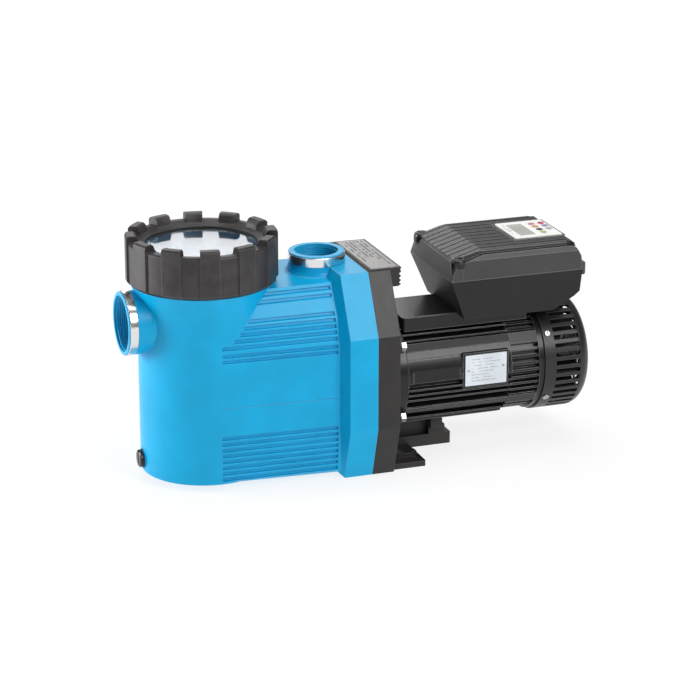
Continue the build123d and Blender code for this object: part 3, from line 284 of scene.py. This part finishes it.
def make_materials():
    """One material for each slot of the record, and two inks for the small print."""
    # The lighter edge colours given below are painted highlights along the edges.
    made = {
        # casing, ring, ports and lid
        "housing_blue": surface("housing_blue", (0.001, 0.385, 0.70), 0.34, vary=0.05, bump=0.07, edge_highlight=0.5,
                                bevel=1.0, specular=0.25, edge_highlight_colour=(0.16, 0.60, 0.95)),
        "ring_brown": surface("ring_brown", (0.027, 0.023, 0.024), 0.46, vary=0.3, lump=50, bump=0.14,
                              bevel=1.6, edge_highlight=0.6, edge_highlight_colour=(0.17, 0.16, 0.16)),
        "port_steel": surface("port_steel", (0.74, 0.74, 0.74), 0.18, vary=0.04, metallic=1.0, edge_highlight=0),
        "lid_clear": clear_plastic("lid_clear", (0.97, 0.99, 1.0), 0.02, 0.75, 2.2),
        "seal_rubber": surface("seal_rubber", (0.02, 0.02, 0.02), 0.6),
        "basket_white": surface("basket_white", (0.85, 0.86, 0.86), 0.4, edge_highlight=0),
        "plug_black": surface("plug_black", (0.012, 0.012, 0.013), 0.3),
        "adaptor_black": surface("adaptor_black", (0.024, 0.022, 0.021), 0.40, vary=0.12, bump=0.1,
                                 bevel=0.9, edge_highlight=0.4, specular=0.35, edge_highlight_colour=(0.16, 0.15, 0.15)),
        # inside the pump
        "hydraulic_plastic": surface("hydraulic_plastic", (0.1, 0.1, 0.11), 0.35),
        "seal_ceramic": surface("seal_ceramic", (0.8, 0.77, 0.7), 0.2),
        "seal_carbon": surface("seal_carbon", (0.04, 0.04, 0.045), 0.4),
        "fastener_steel": surface("fastener_steel", (0.45, 0.45, 0.45), 0.3, metallic=1.0, edge_highlight=0),
        "shaft_steel": surface("shaft_steel", (0.55, 0.55, 0.56), 0.25, metallic=1.0, edge_highlight=0),
        "bearing_steel": surface("bearing_steel", (0.7, 0.7, 0.7), 0.15, metallic=1.0, edge_highlight=0),
        # motor
        "motor_black": surface("motor_black", (0.007, 0.007, 0.007), 0.3, bump=0.06, coat=0.15, bevel=1.2,
                               specular=0.3, edge_highlight=0.9, edge_highlight_colour=(0.36, 0.36, 0.36)),
        "lamination_steel": surface("lamination_steel", (0.2, 0.2, 0.21), 0.4, metallic=0.8,
                                    stretch=(30, 1, 1)),
        "winding_copper": surface("winding_copper", (0.5, 0.2, 0.08), 0.35, metallic=0.7),
        "fan_plastic": surface("fan_plastic", (0.006, 0.006, 0.006), 0.5),
        "fan_cover_black": surface("fan_cover_black", (0.010, 0.010, 0.010), 0.36, bump=0.08, bevel=1.0,
                                   edge_highlight=0.5, edge_highlight_colour=(0.2, 0.2, 0.2)),
        "nameplate_metal": surface("nameplate_metal", (0.36, 0.35, 0.345), 0.4, metallic=0.2, edge_highlight=0,
                                   vary=0.1, lump=220),
        "rating_metal": surface("rating_metal", (0.72, 0.76, 0.82), 0.35, metallic=0.2, edge_highlight=0),
        # controller
        "inverter_dark": surface("inverter_dark", (0.044, 0.044, 0.045), 0.38, bump=0.1, bevel=1.4,
                                 edge_highlight=0.6, specular=0.4, edge_highlight_colour=(0.5, 0.5, 0.5)),
        "inverter_base_dark": surface("inverter_base_dark", (0.016, 0.016, 0.017), 0.48, bump=0.1,
                                      bevel=1.4, edge_highlight=0.5, specular=0.25, edge_highlight_colour=(0.12, 0.12, 0.12)),
        "board_green": surface("board_green", (0.02, 0.16, 0.07), 0.35),
        "label_light": surface("label_light", (0.95, 0.95, 0.93), 0.35, vary=0.02, edge_highlight=0),
        "display_grey": surface("display_grey", (0.52, 0.52, 0.48), 0.2, edge_highlight=0),
        "print_ink": surface("print_ink", (0.10, 0.10, 0.10), 0.5, edge_highlight=0),
        "print_faint": surface("print_faint", (0.34, 0.37, 0.43), 0.5, edge_highlight=0),
    }
    for name, colour in KEY_COLOURS.items():
        made[name] = surface(name, colour, 0.35, edge_highlight=0)
    return made


def dress_nodes(made):
    """Give every CAD node the material of its slot."""
    for part in frame["record"]["subparts"]:
        node = frame["nodes"][part["node"]]
        node.data.materials.clear()
        node.data.materials.append(made[part["material_slot"]])


# ---------------------------------------------------------------- meshes
def add_piece(name, vertices, faces, slot, smooth=False):
    """Mesh object that rides on the pump's standing body and takes a slot's material."""
    mesh = bpy.data.meshes.new(name)
    mesh.from_pydata(vertices, [], faces)
    mesh.validate()
    for polygon in mesh.polygons:
        polygon.use_smooth = smooth
    mesh.materials.append(materials[slot])
    piece = bpy.data.objects.new(name, mesh)
    bpy.context.scene.collection.objects.link(piece)
    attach(piece, "pump")


def add_box(vertices, faces, corner, along, across, up):
    """Closed box on three edges from a corner, added to the lists of a mesh, faces outwards."""
    base = len(vertices)
    for rise in (Vector(), up):
        for reach in (Vector(), along, along + across, across):
            vertices.append((corner + reach + rise)[:])
    left_handed = along.cross(across).dot(up) < 0
    for face in BOX_FACES:
        turned = reversed(face) if left_handed else face
        faces.append([base + v for v in turned])


def add_skin(vertices, faces, rings, capped):
    """Surface through rings of equally many points, added to the lists of a mesh."""
    base = len(vertices)
    count = len(rings[0])
    for ring in rings:
        vertices.extend(ring)
    for k in range(len(rings) - 1):
        start = base + k * count
        for c in range(count):
            d = (c + 1) % count
            faces.append((start + c, start + d, start + count + d, start + count + c))
    if capped:
        last = base + (len(rings) - 1) * count
        faces.append([base + c for c in reversed(range(count))])
        faces.append([last + c for c in range(count)])


# ---------------------------------------------------------------- fine detail
def port_thread(name, node, axis, bore_r, depth):
    """Helical thread lining a port's bore; axis is 0 for X and 2 for Z."""
    low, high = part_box(node)
    middle = (low + high) / 2
    mouth, inward = (low[axis], 1) if axis == 0 else (high[axis], -1)
    pitch = 3.0 * MM
    crest_height = 1.3 * MM
    wall_r = bore_r - 0.55 * MM
    first = 2.0 * MM
    rows = 80
    columns = 96
    rings = []
    for k in range(rows + 1):
        along = first + depth * k / rows
        place = mouth + inward * along
        ring = []
        for c in range(columns):
            turn = 2 * math.pi * c / columns
            phase = (along / pitch - c / columns) % 1.0
            crest = 0.0 if k in (0, rows) else max(0.0, 1 - abs(2 * phase - 1) * 1.3)
            r = wall_r - crest_height * crest
            across, up = r * math.cos(turn), r * math.sin(turn)
            if axis == 0:
                ring.append((place, middle.y + across, middle.z + up))
            else:
                ring.append((middle.x + across, middle.y + up, place))
        rings.append(ring)
    if axis == 0:
        rings.reverse()
    vertices = []
    faces = []
    add_skin(vertices, faces, rings, capped=False)
    add_piece(name, vertices, faces, "housing_blue", smooth=True)


def printed_rows(name, corner, along, across, up, length, rows, gap, height, slot, seed, fill):
    """Rows of short raised dashes that stand for small print, with no lettering."""
    chance = random.Random(seed)
    vertices = []
    faces = []
    for row in range(rows):
        start = 0.0
        end = length * (0.6 + 0.4 * chance.random())
        while start < end:
            run = (1.5 + 5.0 * chance.random()) * MM
            if chance.random() < fill:
                foot = corner + along * start + across * (row * gap) + up * PRINT_FOOT
                add_box(vertices, faces, foot, along * run, across * height, up * PRINT_THICKNESS)
            start += run + PRINT_SPACE
    add_piece(name, vertices, faces, slot)


def nameplate_border():
    """Thin dark strips just inside the edges of the nameplate."""
    low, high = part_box("pump_nameplate")
    width = 2.0 * MM
    strips = ((low.x, low.y, high.x, low.y + width),
              (low.x, high.y - width, high.x, high.y),
              (low.x, low.y + width, low.x + width, high.y - width),
              (high.x - width, low.y + width, high.x, high.y - width))
    vertices = []
    faces = []
    for x0, y0, x1, y1 in strips:
        add_box(vertices, faces, Vector((x0, y0, high.z + PRINT_FOOT)), Vector((x1 - x0, 0, 0)),
                Vector((0, y1 - y0, 0)), Vector((0, 0, PRINT_THICKNESS)))
    add_piece("nameplate_border", vertices, faces, "motor_black")


def screw_caps():
    """Domed caps over the two corner screws at the front of the controller."""
    low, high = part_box("inverter_screws")
    centre_x = low.x + SCREW_HEAD_R
    profile = ((10.7, -11.5), (11.2, -10.5), (11.2, -2.0), (10.2, 1.0), (8.4, 2.6), (6.8, 2.8), (6.0, 1.4))
    columns = 40
    vertices = []
    faces = []
    for centre_y in (low.y + SCREW_HEAD_R, high.y - SCREW_HEAD_R):
        rings = []
        for r, lift in profile:
            ring = []
            for c in range(columns):
                turn = 2 * math.pi * c / columns
                ring.append((centre_x + r * MM * math.cos(turn), centre_y + r * MM * math.sin(turn),
                             high.z + lift * MM))
            rings.append(ring)
        add_skin(vertices, faces, rings, capped=True)
    add_piece("screw_caps", vertices, faces, "motor_black")


def rib_groove_shade():
    """Dark strips in the grooves between the ribs on the flat part of the controller's top, painting the
    shade on the groove walls.
    """
    low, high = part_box("inverter_cover")
    panel_low, panel_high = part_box("keypad_panel")
    groove_count = 9
    groove_pitch = 15 * MM
    panel_clearance = 6 * MM
    top = high.z - 0.6 * MM
    start = low.x + 47 * MM
    rear_end = low.x + 181 * MM
    thickness = Vector((0, 0.3 * MM, 0))
    height = Vector((0, 0, 2.1 * MM))
    vertices = []
    faces = []
    for k in range(groove_count):
        y = (k - (groove_count - 1) / 2) * groove_pitch
        beside_panel = abs(y) < panel_high.y + panel_clearance
        end = panel_low.x - panel_clearance if beside_panel else rear_end
        foot = Vector((start, y + 1.7 * MM, top - 2.3 * MM))
        add_box(vertices, faces, foot, Vector((end - start, 0, 0)), thickness, height)
    add_piece("rib_groove_shade", vertices, faces, "fan_plastic")


def shoulder_shade_strips():
    """Dark strips along both shoulders of the controller, beside the ribbed top, painting the shade of the
    gap there.
    """
    low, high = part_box("inverter_cover")
    inner, outer = 68.2 * MM, 73.0 * MM
    depth = 1.0 * MM
    path = ((low.x + 13 * MM, high.z - 16.7 * MM), (low.x + 47 * MM, high.z - 6.5 * MM),
            (low.x + 179 * MM, high.z - 6.5 * MM))
    vertices = []
    faces = []
    for side in (-1, 1):
        left, right = sorted((side * inner, side * outer))
        rings = [((x, left, z - depth), (x, right, z - depth), (x, right, z), (x, left, z)) for x, z in path]
        add_skin(vertices, faces, rings, capped=True)
    add_piece("shoulder_shade_strips", vertices, faces, "fan_plastic")


def small_print():
    """Unreadable dashes on the nameplate, the rating plate, the keypad label and beside the keys."""
    x, y, z = Vector((1, 0, 0)), Vector((0, 1, 0)), Vector((0, 0, 1))

    low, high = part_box("pump_nameplate")
    corner = Vector((low.x + 6 * MM, high.y - 8 * MM, high.z))
    printed_rows("nameplate_print", corner, -y, x, z, length=high.y - low.y - 16 * MM, rows=6,
                 gap=5.4 * MM, height=2.4 * MM, slot="print_ink", seed=5, fill=0.68)

    low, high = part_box("rating_plate")
    corner = Vector((low.x + 9 * MM, low.y, high.z - 6 * MM))
    printed_rows("rating_print", corner, x, -z, -y, length=high.x - low.x - 18 * MM, rows=8,
                 gap=4.4 * MM, height=0.9 * MM, slot="print_faint", seed=8, fill=0.85)

    low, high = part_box("keypad_panel")
    corner = Vector((low.x + 4.5 * MM, high.y - 8 * MM, high.z))
    printed_rows("keypad_print", corner, -y, x, z, length=high.y - low.y - 16 * MM, rows=3,
                 gap=3.6 * MM, height=1.2 * MM, slot="print_faint", seed=11, fill=0.7)
    for key in KEY_COLOURS:
        key_low, key_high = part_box(key)
        corner = Vector((key_low.x, key_low.y - 2.6 * MM, high.z))
        printed_rows(key + "_mark", corner, x, -y, z, length=5 * MM, rows=1,
                     gap=2 * MM, height=0.9 * MM, slot="print_faint", seed=3, fill=1.0)


def add_details():
    """Trim and painted shade strips on the controller, threads in the ports and marks on the plates."""
    screw_caps()
    shoulder_shade_strips()
    rib_groove_shade()
    port_thread("suction_thread", "suction_insert", 0, 37.6 * MM, 28 * MM)
    port_thread("discharge_thread", "discharge_insert", 2, 29.8 * MM, 32 * MM)
    nameplate_border()
    small_print()


add_camera()
add_studio()
materials = make_materials()
dress_nodes(materials)
add_details()
